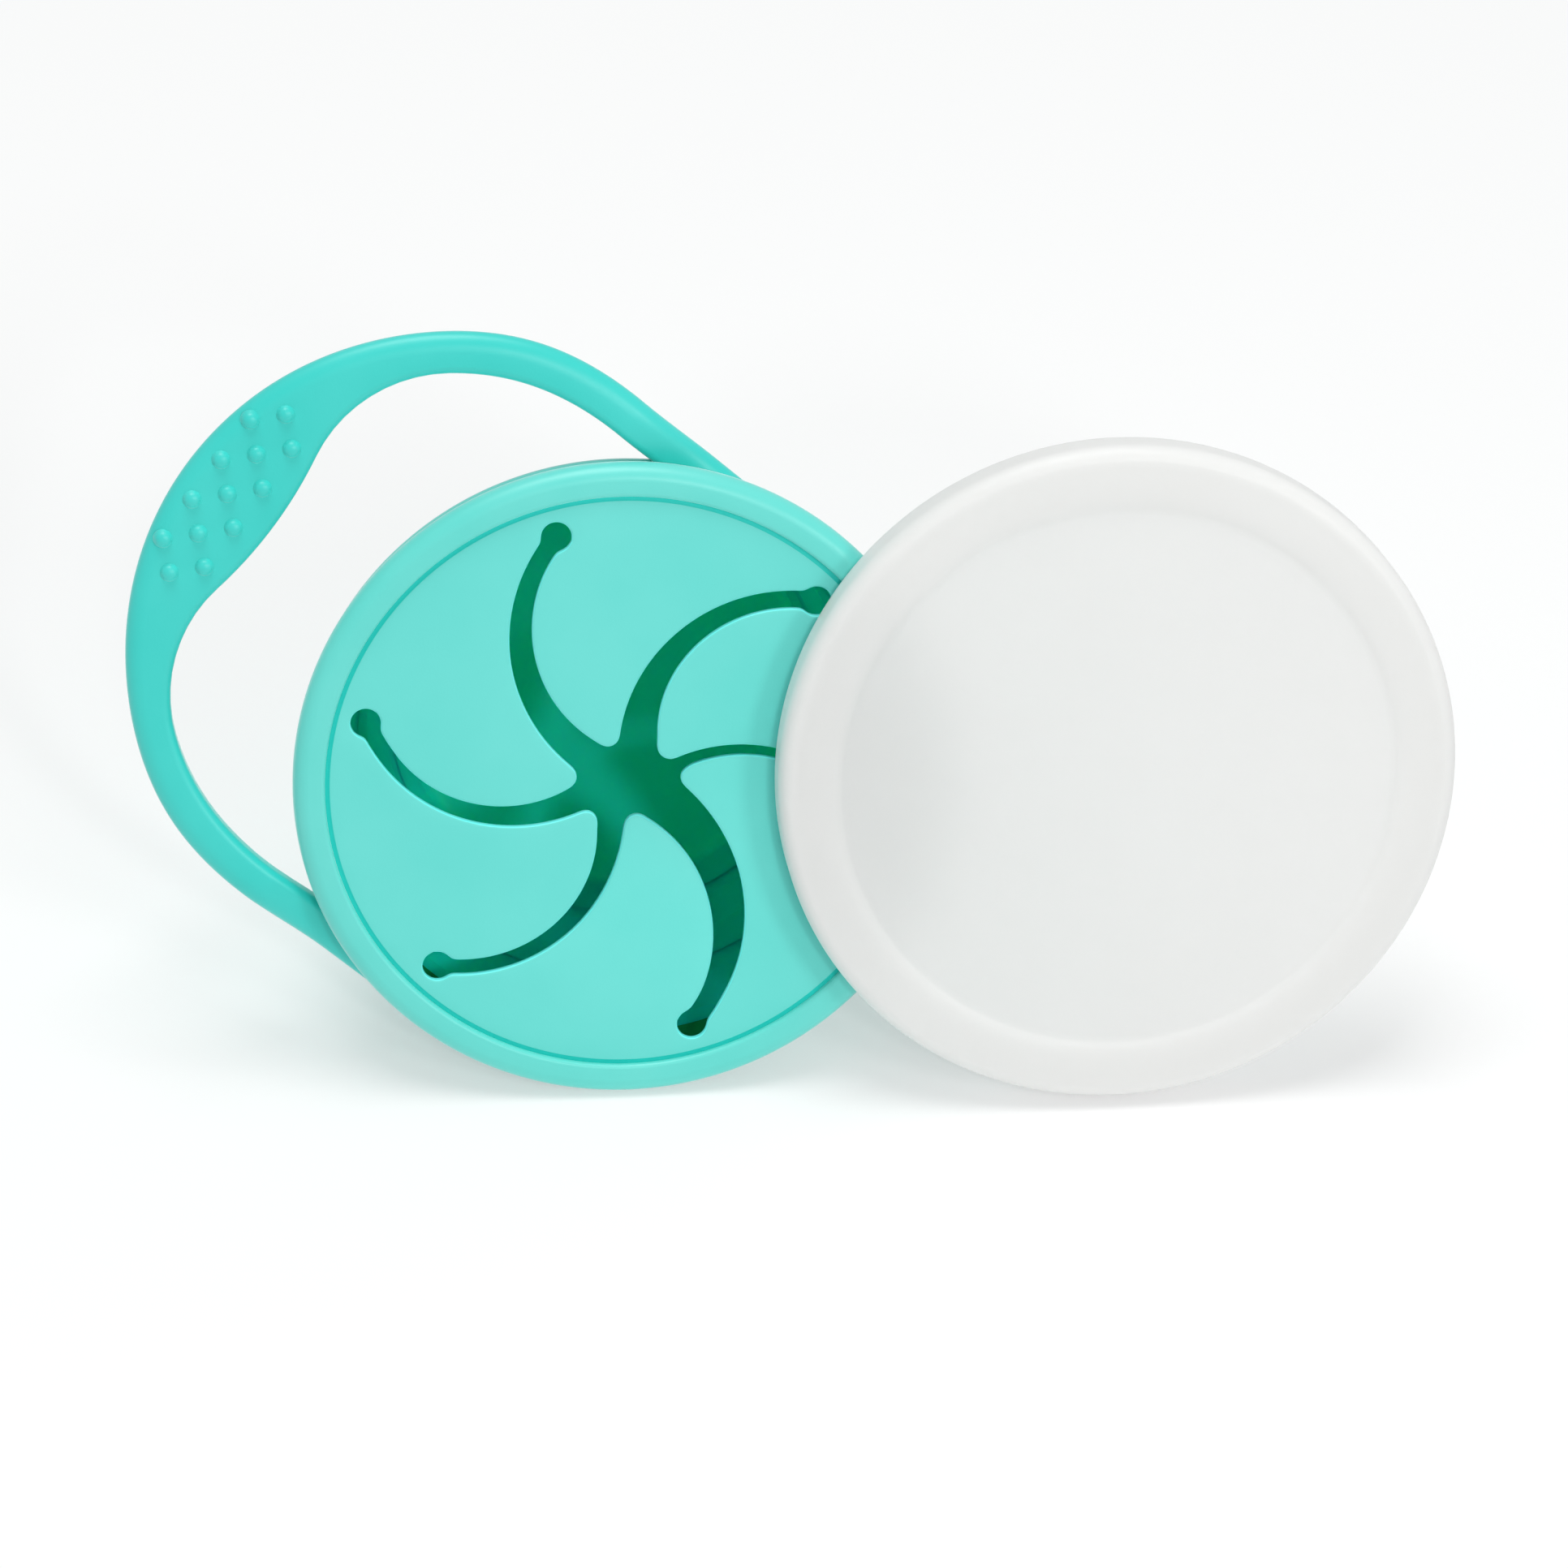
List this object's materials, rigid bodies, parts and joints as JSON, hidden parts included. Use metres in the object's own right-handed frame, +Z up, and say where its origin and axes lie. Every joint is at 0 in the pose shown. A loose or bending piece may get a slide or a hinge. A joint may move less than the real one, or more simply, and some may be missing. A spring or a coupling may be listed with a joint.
{
  "type": "toddler snack container",
  "caption": "Soft snack cup lying on its side, with a slit membrane over the mouth, a folding wall, a loop handle with a bumped grip, and a shallow round lid standing in front.",
  "frame": {"origin": "on the floor, under the middle of the whole object as it lies: halfway from handle to lid and halfway from the lid to the base", "axes": "+Z up, +X from the handle towards the lid, -Y out of the mouth towards the viewer"},
  "size_m": [0.2112, 0.0858, 0.1185],
  "materials": {
    "cup_silicone": "satin",
    "membrane_silicone": "matte",
    "lid_plastic": "satin"
  },
  "bodies": {
    "cup": {"upper_bowl": "cup_silicone", "membrane_ring": "membrane_silicone", "fold_upper": "cup_silicone"},
    "middle": {"mid_wall": "cup_silicone", "fold_lower": "cup_silicone"},
    "lower": {"lower_bowl": "cup_silicone"},
    "handle": {"handle_loop": "cup_silicone", "grip_bumps": "cup_silicone"},
    "lid": {"lid": "lid_plastic"},
    "flap_1": {"flap_1": "membrane_silicone"},
    "flap_2": {"flap_2": "membrane_silicone"},
    "flap_3": {"flap_3": "membrane_silicone"},
    "flap_4": {"flap_4": "membrane_silicone"},
    "flap_5": {"flap_5": "membrane_silicone"},
    "flap_6": {"flap_6": "membrane_silicone"}
  },
  "joints": [
    {"name": "lid_lift", "type": "slide", "parent": "cup", "child": "lid", "axis": [0, -0.9501, 0.312], "range_m": [0, 0.12]},
    {"name": "upper_fold", "type": "slide", "parent": "cup", "child": "middle", "axis": [0, -0.9501, 0.312], "range_m": [0, 0.012], "deforming": ["fold_upper"]},
    {"name": "lower_fold", "type": "slide", "parent": "middle", "child": "lower", "axis": [0, -0.9501, 0.312], "range_m": [0, 0.012], "deforming": ["fold_lower"]},
    {"name": "handle_bend", "type": "hinge", "parent": "cup", "child": "handle", "pos_m": [-0.05153, -0.00789, 0.06751], "axis": [0.6239, 0.2438, 0.7425], "range_deg": [-60, 80], "stiffness_Nm_per_rad": 0.15},
    {"name": "flap_1_bend", "type": "hinge", "parent": "cup", "child": "flap_1", "pos_m": [-0.01722, -0.00715, 0.08417], "axis": [0.9617, -0.0855, -0.2603], "range_deg": [-40, 50], "stiffness_Nm_per_rad": 0.01},
    {"name": "flap_2_bend", "type": "hinge", "parent": "cup", "child": "flap_2", "pos_m": [-0.05291, -0.00995, 0.07566], "axis": [0.7181, 0.2171, 0.6612], "range_deg": [-40, 50], "stiffness_Nm_per_rad": 0.01},
    {"name": "flap_3_bend", "type": "hinge", "parent": "cup", "child": "flap_3", "pos_m": [-0.063, -0.02099, 0.04202], "axis": [-0.2436, 0.3026, 0.9215], "range_deg": [-40, 50], "stiffness_Nm_per_rad": 0.01},
    {"name": "flap_4_bend", "type": "hinge", "parent": "cup", "child": "flap_4", "pos_m": [-0.03739, -0.02924, 0.01691], "axis": [-0.9617, 0.0855, 0.2603], "range_deg": [-40, 50], "stiffness_Nm_per_rad": 0.01},
    {"name": "flap_5_bend", "type": "hinge", "parent": "cup", "child": "flap_5", "pos_m": [-0.00169, -0.02644, 0.02543], "axis": [-0.7181, -0.2171, -0.6612], "range_deg": [0, 50], "stiffness_Nm_per_rad": 0.01},
    {"name": "flap_6_bend", "type": "hinge", "parent": "cup", "child": "flap_6", "pos_m": [0.0084, -0.0154, 0.05906], "axis": [0.2436, -0.3026, -0.9215], "range_deg": [0, 50], "stiffness_Nm_per_rad": 0.01}
  ]
}
